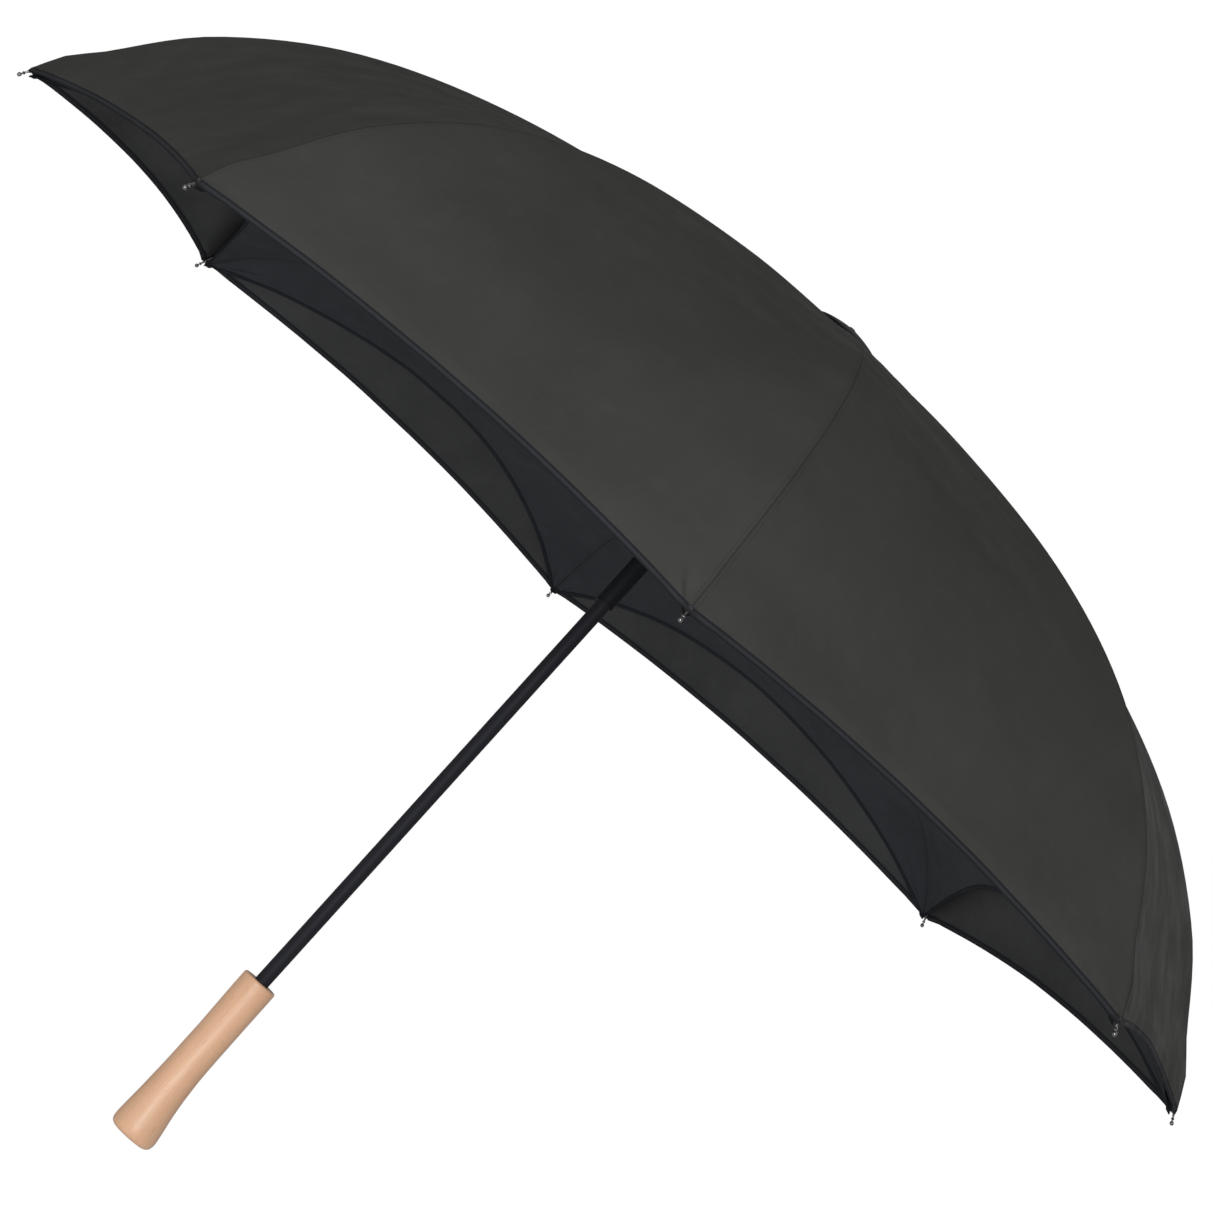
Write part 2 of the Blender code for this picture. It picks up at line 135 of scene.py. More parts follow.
CAMERA_AT = Vector((0.2257, 3.1647, 0.3670))
CAMERA_AIM = Vector((-0.0047, -0.0238, 0.5092))
CAMERA_ROLL = math.radians(42.13)
CAMERA_LENS = 131.34

# Base colours of the cloth's faces: the colour itself, its pale marks and its dark tone, which also darkens
# the painted shade in the weave, seams, hem and folds.
OUTSIDE = ((0.0354, 0.0352, 0.0334), (0.0436, 0.0436, 0.0418), (0.0298, 0.0296, 0.0280))
UNDERSIDE = ((0.0398, 0.0404, 0.0418), (0.0510, 0.0520, 0.0545), (0.0296, 0.0302, 0.0308))
LINING = ((0.0262, 0.0277, 0.0314), (0.0350, 0.0372, 0.0428), (0.0204, 0.0215, 0.0246))

# Lights as (name, place, side of the square, watts); the surround is dimmer for all but camera rays.
LIGHTS = (
    ("key", (0.3, 4.4, 0.45), 1.4, 188.0),
    ("side", (2.6, 2.4, 1.2), 0.9, 18.0),
    ("fill", (-2.2, -3.8, 1.7), 1.4, 12.0),
)
SURROUND_LIGHT = 0.55
FLOOR_LIFT = 0.6
FLOOR_HALF = 13.0
FLOOR_Z = -2.4


# ---------------------------------------------------------------- materials
STITCH_LENGTH = 0.0034


class Shade:
    """A Principled material; each call below adds a node and gives its output socket."""

    def __init__(self, name, **fixed):
        self.material = bpy.data.materials.new(name)
        self.material.use_nodes = True
        self.tree = self.material.node_tree
        self.shader = self.tree.nodes["Principled BSDF"]
        for key, value in fixed.items():
            self.shader.inputs[key.replace("_", " ")].default_value = value

    def put(self, socket, value):
        if isinstance(value, bpy.types.NodeSocket):
            self.tree.links.new(value, socket)
        elif value is not None:
            socket.default_value = value

    def add(self, kind, settings=None, out=0, **inputs):
        node = self.tree.nodes.new("ShaderNode" + kind)
        for key, value in (settings or {}).items():
            setattr(node, key, value)
        for key, value in inputs.items():
            by_number = key[0] == "i" and key[1:].isdigit()
            self.put(node.inputs[int(key[1:]) if by_number else key.replace("_", " ")], value)
        return node.outputs[out]

    def math(self, operation, a, b=None, c=None):
        return self.add("Math", {"operation": operation}, i0=a, i1=b, i2=c)

    def place(self, scale=(1.0, 1.0, 1.0)):
        spot = self.add("TexCoord", out="Object")
        return self.add("Mapping", Vector=spot, Scale=scale)

    def cloth(self, name):
        """The two numbers of a UV map, in metres."""
        spot = self.add("UVMap", {"uv_map": name})
        split = self.add("SeparateXYZ", Vector=spot).node
        return spot, split.outputs[0], split.outputs[1]

    def dashes(self, along):
        """1 on each stitch of a row of stitches, and 0 between them."""
        wave = self.math("SINE", self.math("MULTIPLY", along, 2.0 * math.pi / STITCH_LENGTH))
        return self.math("GREATER_THAN", wave, -0.35)

    def noise(self, vector, scale, detail=3.0, roughness=0.5, out=0):
        return self.add("TexNoise", out=out, Vector=vector, Scale=scale, Detail=detail, Roughness=roughness)

    def ramp(self, fac, low, high, a=0.0, b=1.0):
        return self.add("MapRange", i0=fac, i1=low, i2=high, i3=a, i4=b)

    def tint(self, fac, a, b):
        """Colour a where fac is 0 and colour b where it is 1."""
        node = self.tree.nodes.new("ShaderNodeMix")
        node.data_type = "RGBA"
        self.put(node.inputs[0], fac)
        for index, value in ((6, a), (7, b)):
            self.put(node.inputs[index], (*value, 1.0) if isinstance(value, tuple) else value)
        return node.outputs[2]

    def bump(self, height, distance, strength=1.0, under=None):
        return self.add("Bump", Height=height, Distance=distance, Strength=strength, Normal=under)

    def finish(self, colour=None, roughness=None, normal=None):
        self.put(self.shader.inputs["Base Color"], colour)
        self.put(self.shader.inputs["Roughness"], roughness)
        self.put(self.shader.inputs["Normal"], normal)
        return self.material


def cloth_material(name, colour, pale, dark, seam=0.45, thread=0.00075):
    """Plain-woven pongee: threads, slubs, a felled seam, a stitched hem and faint handling marks, with
    painted shade between the threads, in the seam, on the hem and in folds at the tips.
    """
    m = Shade(name, IOR=1.12, Specular_IOR_Level=0.35)
    spot, u, v = m.cloth("cloth")
    _, d, _ = m.cloth("edge")
    warp = m.math("SINE", m.math("MULTIPLY", u, math.pi / thread))
    weft = m.math("SINE", m.math("MULTIPLY", v, math.pi / thread))
    weave = m.math("MULTIPLY", warp, weft)
    warp_round = m.math("ABSOLUTE", warp)
    weft_round = m.math("ABSOLUTE", weft)
    over = m.math("GREATER_THAN", weave, 0.0)
    lift = m.math("SUBTRACT", warp_round, weft_round)
    height = m.math("MULTIPLY_ADD", lift, over, weft_round)
    slub = m.noise(m.add("Mapping", Vector=spot, Scale=(40.0, 900.0, 1.0)), 1.0, 2.0)
    patch = m.noise(m.place(), 9.0, 4.0, 0.6)
    marks = m.noise(m.place(), 55.0, 5.0, 0.7)
    base = m.tint(m.ramp(patch, 0.35, 0.68), dark, colour)
    base = m.tint(m.math("MULTIPLY", m.ramp(marks, 0.52, 0.78), 0.30), base, pale)
    base = m.tint(m.math("MULTIPLY", m.ramp(slub, 0.60, 0.85), 0.25), base, pale)
    # painted shade in the low places of the weave, between the raised threads
    base = m.tint(m.math("MULTIPLY", m.ramp(height, 0.0, 0.45, 1.0, 0.0), 0.35), base, dark)
    # seam along the rib: a sunk line painted dark as shade, and a row of stitches on each side
    across = m.math("ABSOLUTE", u)
    dash = m.dashes(v)
    stitch = m.math("MULTIPLY", m.math("COMPARE", across, 0.0028, 0.00030), dash)
    groove = m.ramp(across, 0.0003, 0.0012, 1.0, 0.0)
    # hem: a doubled band painted darker as shade, with the darkest painted shade along its stitches and at
    # its very edge
    along = m.dashes(u)
    stitch = m.math("MAXIMUM", stitch, m.math("MULTIPLY", m.math("COMPARE", d, HEM_STITCH, 0.00030), along))
    hem_band_shade = m.ramp(d, HEM_WIDTH - 0.0004, HEM_WIDTH + 0.0002, 1.0, 0.0)
    stitch_and_edge_shade = m.ramp(m.math("ABSOLUTE", m.math("SUBTRACT", d, HEM_STITCH)), 0.0004, 0.0009, 1.0, 0.0)
    stitch_and_edge_shade = m.math("MAXIMUM", stitch_and_edge_shade, m.ramp(d, 0.0006, 0.0013, 1.0, 0.0))
    # painted shade in the seam's sunk line
    base = m.tint(m.math("MULTIPLY", groove, seam), base, tuple(0.30 * c for c in dark))
    # painted shade on the hem band, then darker painted shade along its stitches and edge
    base = m.tint(m.math("MULTIPLY", hem_band_shade, 0.60), base, (dark[0] * 0.42, dark[0] * 0.46, dark[0] * 0.62))
    base = m.tint(m.math("MULTIPLY", stitch_and_edge_shade, 0.75), base, (dark[0] * 0.20, dark[0] * 0.22, dark[0] * 0.28))
    # gathers: painted shade in folds that fan out of each tip and fade within 4 cm, and all round each tip
    near = m.math("ADD", d, 0.003)
    reach = m.math("SQRT", m.math("ADD", m.math("MULTIPLY", across, across), m.math("MULTIPLY", near, near)))
    fan = m.math("ARCTAN2", across, near)
    waver = m.math("MULTIPLY", m.noise(m.place(), 14.0, 2.0), 3.0)
    folds = m.math("SINE", m.math("ADD", m.math("MULTIPLY", fan, 9.0), waver))
    folds = m.math("MULTIPLY", m.ramp(folds, 0.45, 0.98), m.ramp(reach, 0.008, 0.038, 1.0, 0.0))
    folds = m.math("MULTIPLY", folds, m.ramp(m.noise(m.place(), 21.0, 1.0), 0.42, 0.62, 0.0, 0.70))
    deep = m.math("MAXIMUM", folds, m.ramp(reach, 0.003, 0.010, 0.85, 0.0))
    # painted shade of the folds and round each tip
    base = m.tint(deep, base, tuple(0.35 * c for c in dark))
    base = m.tint(m.math("MULTIPLY", stitch, 0.45), base, tuple(0.60 * c for c in colour))
    wrinkle = m.noise(m.place(), 75.0, 3.0, 0.55)
    normal = m.bump(wrinkle, 0.0010, 0.35)
    normal = m.bump(height, 0.00012, 0.55, normal)
    normal = m.bump(stitch, 0.00030, 0.9, normal)
    rough = m.ramp(m.noise(m.place(), 30.0, 3.0), 0.3, 0.7, 0.68, 0.86)
    return m.finish(base, rough, normal)


def wood_material():
    """Steamed beech under a satin lacquer: long pores, faint rings, short darker rays and rubbed spots."""
    m = Shade("beech_lacquered", Specular_IOR_Level=0.32, Coat_Weight=0.14, Coat_Roughness=0.34)
    warp = m.noise(m.place((6.0, 6.0, 1.3)), 3.0, 2.0)
    rings = m.add(
        "TexWave",
        {"wave_type": "BANDS", "bands_direction": "X"},
        out=1,
        Vector=m.place((1.0, 0.35, 0.05)),
        Scale=150.0,
        Distortion=m.math("MULTIPLY", warp, 9.0),
        Detail=3.0,
        Detail_Scale=0.8,
    )
    fibre = m.noise(m.place((420.0, 420.0, 14.0)), 1.0, 4.0, 0.65)
    fleck = m.ramp(m.noise(m.place((950.0, 950.0, 150.0)), 1.0, 2.0), 0.63, 0.70)
    broad = m.noise(m.place((40.0, 40.0, 9.0)), 1.0, 3.0)
    base = m.tint(m.ramp(broad, 0.30, 0.70), (0.430, 0.252, 0.152), (0.488, 0.300, 0.188))
    base = m.tint(m.math("MULTIPLY", rings, 0.22), base, (0.355, 0.200, 0.112))
    base = m.tint(m.math("MULTIPLY", m.ramp(fibre, 0.45, 0.75), 0.20), base, (0.340, 0.187, 0.103))
    base = m.tint(m.math("MULTIPLY", fleck, 0.26), base, (0.255, 0.133, 0.072))
    rough = m.ramp(fibre, 0.3, 0.75, 0.44, 0.58)
    normal = m.bump(fibre, 0.00012, 0.35)
    normal = m.bump(fleck, 0.00010, 0.4, normal)
    return m.finish(base, rough, normal)


def enamel_material(name, colour, low, high, grain=900.0, specular=0.22):
    """Black enamel or moulded plastic: a fine skin, rubbed lighter in places."""
    m = Shade(name, Specular_IOR_Level=specular)
    fine = m.noise(m.place(), grain, 3.0, 0.6)
    rub = m.noise(m.place((30.0, 30.0, 6.0)), 1.0, 4.0, 0.6)
    scuff = m.noise(m.place((700.0, 700.0, 22.0)), 1.0, 3.0, 0.7)
    pale = tuple(c * 1.6 + 0.002 for c in colour)
    base = m.tint(m.math("MULTIPLY", m.ramp(rub, 0.45, 0.75), 0.5), colour, pale)
    base = m.tint(m.math("MULTIPLY", m.ramp(scuff, 0.66, 0.80), 0.35), base, tuple(c * 2.4 for c in pale))
    rough = m.ramp(rub, 0.3, 0.7, low, high)
    return m.finish(base, rough, m.bump(fine, 0.00008, 0.4))


def metal_material(name, colour, low, high, stretch=(1.0, 1.0, 1.0), bright=1.0):
    """Plated metal with fine turning or rolling lines and a little dulling."""
    m = Shade(name, Metallic=1.0)
    lines = m.noise(m.place(stretch), 1.0, 3.0, 0.6)
    dull = m.noise(m.place(), 140.0, 4.0, 0.6)
    base = m.tint(m.ramp(dull, 0.40, 0.75), colour, tuple(c * 0.62 * bright for c in colour))
    rough = m.ramp(m.math("MULTIPLY_ADD", lines, 0.5, m.math("MULTIPLY", dull, 0.5)), 0.3, 0.7, low, high)
    return m.finish(base, rough, m.bump(lines, 0.00004, 0.35))


# ---------------------------------------------------------------- shapes
def spline(points, count):
    """Catmull-Rom curve through points, resampled to count points at even arc length."""
    p = np.array(points, float)
    p = np.vstack([2 * p[0] - p[1], p, 2 * p[-1] - p[-2]])
    fine = []
    for k in range(1, len(p) - 2):
        a, b, c, d = p[k - 1], p[k], p[k + 1], p[k + 2]
        for t in np.linspace(0.0, 1.0, 24, endpoint=False):
            square = (2 * a - 5 * b + 4 * c - d) * t * t
            cube = (3 * b - a - 3 * c + d) * t**3
            fine.append(0.5 * (2 * b + (c - a) * t + square + cube))
    fine.append(p[-2])
    fine = np.array(fine)
    length = np.concatenate([[0.0], np.cumsum(np.linalg.norm(np.diff(fine, axis=0), axis=1))])
    even = np.linspace(0.0, length[-1], count)
    return np.stack([np.interp(even, length, fine[:, k]) for k in range(fine.shape[1])], 1)


def rib_line(stations, hole_r):
    fine = spline([(r * TIP_R, TIP_Z + z * TIP_R) for r, z in stations], 900)
    return fine[fine[:, 0] >= hole_r]


def line_length(line):
    return float(np.linalg.norm(np.diff(line, axis=0), axis=1).sum())


def share_of(line, radius):
    return float(np.interp(radius, line[:, 0], np.linspace(0.0, 1.0, len(line))))


def height_at(line, radius):
    return float(np.interp(radius, line[:, 0], line[:, 1]))


def at_share(line, share):
    k = np.clip(share, 0.0, 1.0) * (len(line) - 1)
    index = np.arange(len(line))
    return np.interp(k, index, line[:, 0]), np.interp(k, index, line[:, 1])


def smooth(x):
    x = np.clip(x, 0.0, 1.0)
    return x * x * (3.0 - 2.0 * x)


def from_bmesh(name, bm, material, angle_sharp=35.0):
    """An object from bm, smooth except where its faces meet more sharply than angle_sharp degrees."""
    bmesh.ops.recalc_face_normals(bm, faces=bm.faces)
    mesh = bpy.data.meshes.new(name)
    bm.to_mesh(mesh)
    bm.free()
    mesh.materials.append(material)
    for polygon in mesh.polygons:
        polygon.use_smooth = True
    if angle_sharp:
        mesh.set_sharp_from_angle(angle=math.radians(angle_sharp))
    item = bpy.data.objects.new(name, mesh)
    bpy.context.scene.collection.objects.link(item)
    return item


def lathe(rings, sides, closed_loop=False):
    """Solid of revolution from rings (radius, height, shift towards -X); a closed loop makes a tube."""
    bm = bmesh.new()
    loops = []
    for radius, height, shift in rings:
        if radius < 1e-7:
            loops.append([bm.verts.new((-shift, 0.0, height))])
            continue
        loop = []
        for k in range(sides):
            angle = 2.0 * math.pi * (k + 0.5) / sides
            loop.append(bm.verts.new((radius * math.cos(angle) - shift, radius * math.sin(angle), height)))
        loops.append(loop)
    pairs = list(zip(loops, loops[1:]))
    if closed_loop:
        pairs.append((loops[-1], loops[0]))
    for low, high in pairs:
        for k in range(sides):
            n = (k + 1) % sides
            if len(low) == 1:
                bm.faces.new((low[0], high[k], high[n]))
            elif len(high) == 1:
                bm.faces.new((low[k], low[n], high[0]))
            else:
                bm.faces.new((low[k], low[n], high[n], high[k]))
    return bm


def tube(path, radius, sides, closed=False):
    """A round tube along 3-D points, with flat ends; a radius per point tapers it."""
    points = [Vector(p) for p in path]
    radii = radius if hasattr(radius, "__len__") else [radius] * len(points)
    bm = bmesh.new()
    loops = []
    up = None
    for k, point in enumerate(points):
        before = points[k - 1] if (k or closed) else point
        after = points[(k + 1) % len(points)] if (k < len(points) - 1 or closed) else point
        along = (after - before).normalized()
        if up is None:
            up = along.orthogonal().normalized()
        up = (up - along * up.dot(along)).normalized()
        side = along.cross(up)
        loop = []
        for s in range(sides):
            t = 2.0 * math.pi * s / sides
            loop.append(bm.verts.new(point + (up * math.cos(t) + side * math.sin(t)) * radii[k]))
        loops.append(loop)
    pairs = list(zip(loops, loops[1:]))
    if closed:
        pairs.append((loops[-1], loops[0]))
    for low, high in pairs:
        for s in range(sides):
            n = (s + 1) % sides
            bm.faces.new((low[s], low[n], high[n], high[s]))
    if not closed:
        bm.faces.new(list(reversed(loops[0])))
        bm.faces.new(loops[-1])
    return bm


# ---------------------------------------------------------------- cloth
SEAM_OFFSETS = (0.0008, 0.0016, 0.0028, 0.0044)
HEM_ROWS = (0.0110, 0.0085, 0.0064, 0.0052, 0.0044, 0.0037, 0.0030, 0.0023, 0.0016, 0.0010, 0.0004, 0.0)
HEM_WIDTH = 0.0048
HEM_STITCH = 0.0037
HEM_CURL = 0.0010
CLOTH_THICK = 0.00045
FREE_COLUMNS = 13
COLLAR_PLEATS = 32.0


class Canopy:
    """One cloth of eight gores: its rib line, hem, sag and small relief, as one smooth function."""

    def __init__(self, line, scallop, sag, seed, wave, gather, collar_pleats=0.0):
        self.line = line
        self.length = line_length(line)
        self.scallop = scallop
        self.sag = sag
        self.seed = seed
        self.wave = wave
        self.gather = gather
        self.collar_pleats = collar_pleats

    def hem_share(self, a):
        t = np.abs(a) / 2.0
        return 1.0 - self.scallop * 4.0 * t * (1.0 - t)

    def smooth_point(self, a, share):
        """Points of the cloth by the rib along +X, without relief, and how far they are from the rib."""
        r, z = at_share(self.line, share)
        side = np.where(a >= 0.0, 1.0, -1.0)
        t = np.abs(a) / 2.0
        x = r * (1.0 - t) + r * math.cos(STEP) * t
        y = side * r * math.sin(STEP) * t
        span = 2.0 * r * math.sin(STEP / 2.0)
        k = np.clip(share, 0.02, 0.98)
        r0, z0 = at_share(self.line, k - 0.02)
        r1, z1 = at_share(self.line, k + 0.02)
        size = np.hypot(r1 - r0, z1 - z0)
        inward_r, inward_z = (z1 - z0) / size, -(r1 - r0) / size
        deep = self.sag * span * 4.0 * t * (1.0 - t)
        turn = side * STEP * t
        x = x + inward_r * np.cos(turn) * deep
        y = y + inward_r * np.sin(turn) * deep
        z = z + inward_z * deep
        return np.stack([x, y, z], -1), side * t * span

    def crease(self, gore, w, share, radius, gap):
        """Height of one point's creases: broad slack, gathers that fan from both tips, and a loose hem."""
        key = gore * 7.3 + self.seed
        bow = math.sin(math.pi * min(max(w, 0.0), 1.0))
        wide = noise.noise(Vector((w * 2.6, share * 3.2, key)))
        middle = noise.noise(Vector((w * 7.0, share * 8.0, key + 3.1)))
        height = self.wave * bow * (wide + 0.35 * middle) * min(radius / 0.15, 1.0)
        back = max((1.0 - share) * self.length, 0.0)
        for end, tip in ((w, gore), (1.0 - w, gore % RIBS + 1)):
            across = radius * STEP * max(end, 0.0)
            far = math.hypot(across, back)
            fan = math.atan2(across, back + 0.004)
            tip_key = tip * 3.7 + gore * 1.3 + self.seed
            lobe = math.sin(fan * 17.0 + 2.5 * noise.noise(Vector((tip_key, fan * 2.0, 0.5))))
            fade = math.exp(-far / 0.050) * min(far / 0.006, 1.0) * min(across / 0.004, 1.0)
            uneven = 0.7 + 0.8 * noise.noise(Vector((fan * 5.0, tip_key, 1.7)))
            height += self.gather * lobe * fade * uneven
        height += 0.0007 * math.exp(-gap / 0.018) * bow * noise.noise(Vector((w * 16.0, key, 9.2)))
        if self.collar_pleats:
            turn = (gore - 1 + w) * STEP
            fade = math.exp(-(radius - LINING_HOLE_R) / 0.022)
            height += self.collar_pleats * fade * math.cos(turn * COLLAR_PLEATS)
        return height

    def relief(self, number, a, share, hem_gap):
        gore = np.where(a >= 0.0, number, (number - 2) % RIBS + 1)
        w = np.where(a >= 0.0, a / 2.0, 1.0 + a / 2.0)
        radius, _ = at_share(self.line, share)
        flat = zip(gore.ravel(), w.ravel(), share.ravel(), radius.ravel(), hem_gap.ravel())
        heights = [self.crease(int(g), float(x), float(s), float(r), float(d)) for g, x, s, r, d in flat]
        return np.array(heights).reshape(a.shape)

    def rows(self, folds):
        """Shares of the rows at the rib, and how many rows there are up to each fold line."""
        last = 1.0 - 0.0145 / self.length
        stops = [0.0, *[share_of(self.line, fold) for fold in folds], last]
        shares, counts = [0.0], []
        for low, high in zip(stops, stops[1:]):
            steps = max(int((high - low) * self.length / 0.0135), 4)
            shares += list(np.linspace(low, high, steps + 1)[1:])
            counts.append(len(shares) - 1)
        counts[-1] = len(shares) + len(HEM_ROWS) - 1
        return shares, counts

    def grid(self, number, folds):
        """Points, normals and cloth distances over one rib's sector, from mid gore to mid gore."""
        shares, counts = self.rows(folds)
        s = np.array(shares + [1.0] * len(HEM_ROWS))[:, None]
        gap = np.array([9.0] * len(shares) + list(HEM_ROWS))[:, None]
        radius, _ = at_share(self.line, s)
        span = 2.0 * radius * math.sin(STEP / 2.0)
        seam = [np.minimum(2.0 * d / span, 0.45 * d / SEAM_OFFSETS[-1]) for d in SEAM_OFFSETS]
        free = [seam[-1] + (1.0 - seam[-1]) * (k / FREE_COLUMNS) ** 1.25 for k in range(1, FREE_COLUMNS + 1)]
        ghost = [2.0 - free[-2]]
        side = np.concatenate(seam + free + ghost, 1)
        a = np.concatenate([-side[:, ::-1], np.zeros_like(s), side], 1)
        hem = self.hem_share(a)
        share = np.where(gap < 1.0, 1.0 - gap / (self.length * hem), s) * hem
        share = np.clip(share, 0.0, 1.0)
        hem_gap = np.maximum(hem - share, 0.0) * self.length
        base, u = self.smooth_point(a, share)
        point = base + grid_normals(base) * self.relief(number, a, share, hem_gap)[..., None]
        normal = grid_normals(point)
        above, below = cloth_layers(np.abs(u), hem_gap)
        upper = point + normal * above[..., None]
        lower = point - normal * below[..., None]
        turn = np.array(Matrix.Rotation((number - 1) * STEP, 3, "Z")).T
        trimmed = slice(1, -1)
        return {
            "upper": upper[:, trimmed] @ turn,
            "lower": lower[:, trimmed] @ turn,
            "upper_normal": grid_normals(upper)[:, trimmed] @ turn,
            "lower_normal": -grid_normals(lower)[:, trimmed] @ turn,
            "u": u[:, trimmed],
            "v": share[:, trimmed] * self.length,
            "gap": hem_gap[:, trimmed],
            "counts": counts,
        }


def grid_normals(points):
    normal = np.cross(np.gradient(points, axis=0), np.gradient(points, axis=1))
    return normal / np.maximum(np.linalg.norm(normal, axis=-1, keepdims=True), 1e-12)


def cloth_layers(u, gap):
    """How far the two faces stand off the smooth surface: a felled seam, and a doubled, stitched hem."""
    doubled = smooth((HEM_WIDTH + 0.0004 - gap) / 0.0008)
    seam = smooth((0.0040 - u) / 0.0012)
    groove = np.exp(-((u / 0.0007) ** 2))
    stitched = np.exp(-(((gap - HEM_STITCH) / 0.0008) ** 2))
    roll = np.clip(1.0 - gap / 0.0009, 0.0, 1.0)
    curl = HEM_CURL * np.clip(1.0 - gap / HEM_WIDTH, 0.0, 1.0) ** 1.5
    upper = 0.00016 * doubled + 0.00010 * seam - 0.00022 * groove - 0.00030 * stitched
    upper = upper - 0.00028 * roll - curl
    lower = CLOTH_THICK + 0.00040 * doubled + 0.00050 * seam - 0.00022 * stitched
    lower = lower - 0.00028 * roll + curl
    return upper, np.maximum(lower, 0.00025 - upper)


def half_sector(grid, first, last, side):
    """Rows first to last of a sector, on one side of its rib: from the rib's seam to mid gore."""
    middle = grid["u"].shape[1] // 2
    columns = slice(middle, None) if side > 0 else slice(0, middle + 1)
    return {key: value[first:last + 1, columns] for key, value in grid.items() if key != "counts"}


def cloth_piece(name, part, materials):
    """A closed shell over one part of a sector; its faces keep the whole cloth's normals."""
    upper, lower = part["upper"], part["lower"]
    count, width = upper.shape[:2]
    total = count * width
    verts = np.concatenate([upper.reshape(-1, 3), lower.reshape(-1, 3)])
    index = np.arange(total).reshape(count, width)
    a, b, c, d = index[:-1, :-1], index[1:, :-1], index[1:, 1:], index[:-1, 1:]
    top = np.stack([a, b, c, d], -1).reshape(-1, 4)
    bottom = np.stack([a, d, c, b], -1).reshape(-1, 4) + total
    walls = []
    for line, flip in ((index[0], False), (index[-1], True), (index[:, 0], True), (index[:, -1], False)):
        p, q = line[:-1], line[1:]
        wall = np.stack([p, q, q + total, p + total], -1)
        walls.append(wall[:, ::-1] if flip else wall)
    faces = np.concatenate([top, bottom, *walls])
    mesh = bpy.data.meshes.new(name)
    mesh.from_pydata(verts.tolist(), [], faces.tolist())
    material = np.zeros(len(faces), np.int32)
    material[len(top):] = 1
    for entry in materials:
        mesh.materials.append(entry)
    mesh.polygons.foreach_set("material_index", material)
    mesh.polygons.foreach_set("use_smooth", np.ones(len(faces), bool))
    corner = np.zeros(len(mesh.loops), np.int32)
    mesh.loops.foreach_get("vertex_index", corner)
    both = np.concatenate([np.arange(total), np.arange(total)])[corner]
    for layer, first_value, second_value in (("cloth", "u", "v"), ("edge", "gap", "u")):
        values = np.stack([part[first_value].ravel(), part[second_value].ravel()], -1)[both]
        uv = mesh.uv_layers.new(name=layer)
        uv.data.foreach_set("uv", values.astype(np.float32).ravel())
    mesh.uv_layers.active = mesh.uv_layers["cloth"]
    face_normals = [part[key].reshape(-1, 3) for key in ("upper_normal", "lower_normal")]
    normals = np.concatenate(face_normals)[corner]
    in_wall = np.arange(len(mesh.loops)) >= 4 * (len(top) + len(bottom))
    if in_wall.any():
        flat = np.zeros(len(mesh.polygons) * 3)
        mesh.polygons.foreach_get("normal", flat)
        normals[in_wall] = np.repeat(flat.reshape(-1, 3), 4, 0)[in_wall]
    mesh.normals_split_custom_set(normals.tolist())
    item = bpy.data.objects.new(name, mesh)
    bpy.context.scene.collection.objects.link(item)
    return item


def rib_run(part, side):
    """The unit direction along the rib, from a part's first row to its last."""
    column = 0 if side > 0 else -1
    run = part["upper"][-1, column] - part["upper"][0, column]
    return run / np.linalg.norm(run)


def fold_towards_rib(piece, part, side, along):
    """Gives the piece its own mesh; the cloth's direction from the rib towards mid gore, across `along`, is
    worked out but not used.
    """
    point = part["upper"]
    rib, far = (point[:, 0], point[:, -1]) if side > 0 else (point[:, -1], point[:, 0])
    across = (far - rib).mean(0) if along is None else far[0] - rib[-1]
    along = rib_run(part, side) if along is None else along
    across = across - (across @ along) * along
    across /= np.linalg.norm(across)
    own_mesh(piece)


def add_cloth(name, grid, first, last, materials, body, node=None, along=None):
    """The cloth between two folds of one rib's sector, as a left and a right half that share its seam."""
    for side, label in ((1, "left"), (-1, "right")):
        part = half_sector(grid, first, last, side)
        piece = cloth_piece(f"{name}_{label}", part, materials)
        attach(piece, body)
        fold_towards_rib(piece, part, side, along)
        if node:
            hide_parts(node)


def build_canopies(materials):
    """Both canopies, each rib's sector parted where the frame bends as it closes."""
    line = rib_line(OUTER_LINE, HOLE_R)
    outer = Canopy(line, OUTER_SCALLOP, OUTER_SAG, seed=2.0, wave=0.0016, gather=0.0007)
    line = rib_line(LINING_LINE, LINING_HOLE_R)
    lining = Canopy(line, LINING_SCALLOP, LINING_SAG, 61.0, wave=0.0016, gather=0.0008, collar_pleats=0.0009)
    for number in range(1, RIBS + 1):
        stretcher, rod, tip, panel = (f"{body}_{number}" for body in ("stretcher", "rod", "tip", "lining"))
        grid = outer.grid(number, (ELBOW_R, ROD_BEND_R))
        elbow, bend, hem = grid["counts"]
        faces = (materials["outer"], materials["underside"])
        node = f"outer_canopy_{number}"
        add_cloth(f"outer_crown_{number}", grid, 0, elbow, faces, stretcher)
        add_cloth(f"outer_middle_{number}", grid, elbow, bend, faces, rod, node)
        add_cloth(f"outer_rim_{number}", grid, bend, hem, faces, tip)
        run = rib_run(half_sector(grid, bend, hem, 1), 1)
        grid = lining.grid(number, (LINING_FOLD_R,))
        fold, hem = grid["counts"]
        faces = (materials["lining_back"], materials["lining"])
        node = f"lining_canopy_{number}"
        add_cloth(f"lining_panel_{number}", grid, 0, fold, faces, panel, node)
        add_cloth(f"lining_rim_{number}", grid, fold, hem, faces, tip, None, run)


# ---------------------------------------------------------------- hard parts
def frame_line(outer):
    """The frame's middle line, FRAME_DROP under the outer canopy's rib line."""
    tangent = np.gradient(outer, axis=0)
    tangent /= np.linalg.norm(tangent, axis=1)[:, None]
    inward = np.stack([tangent[:, 1], -tangent[:, 0]], 1)
    return outer + inward * FRAME_DROP


def tip_axis():
    """The ball's centre and the unit direction from the ball back along the tip's stem."""
    return Vector((TIP_R, 0.0, TIP_Z)), Vector((-0.500, 0.0, 0.866)).normalized()


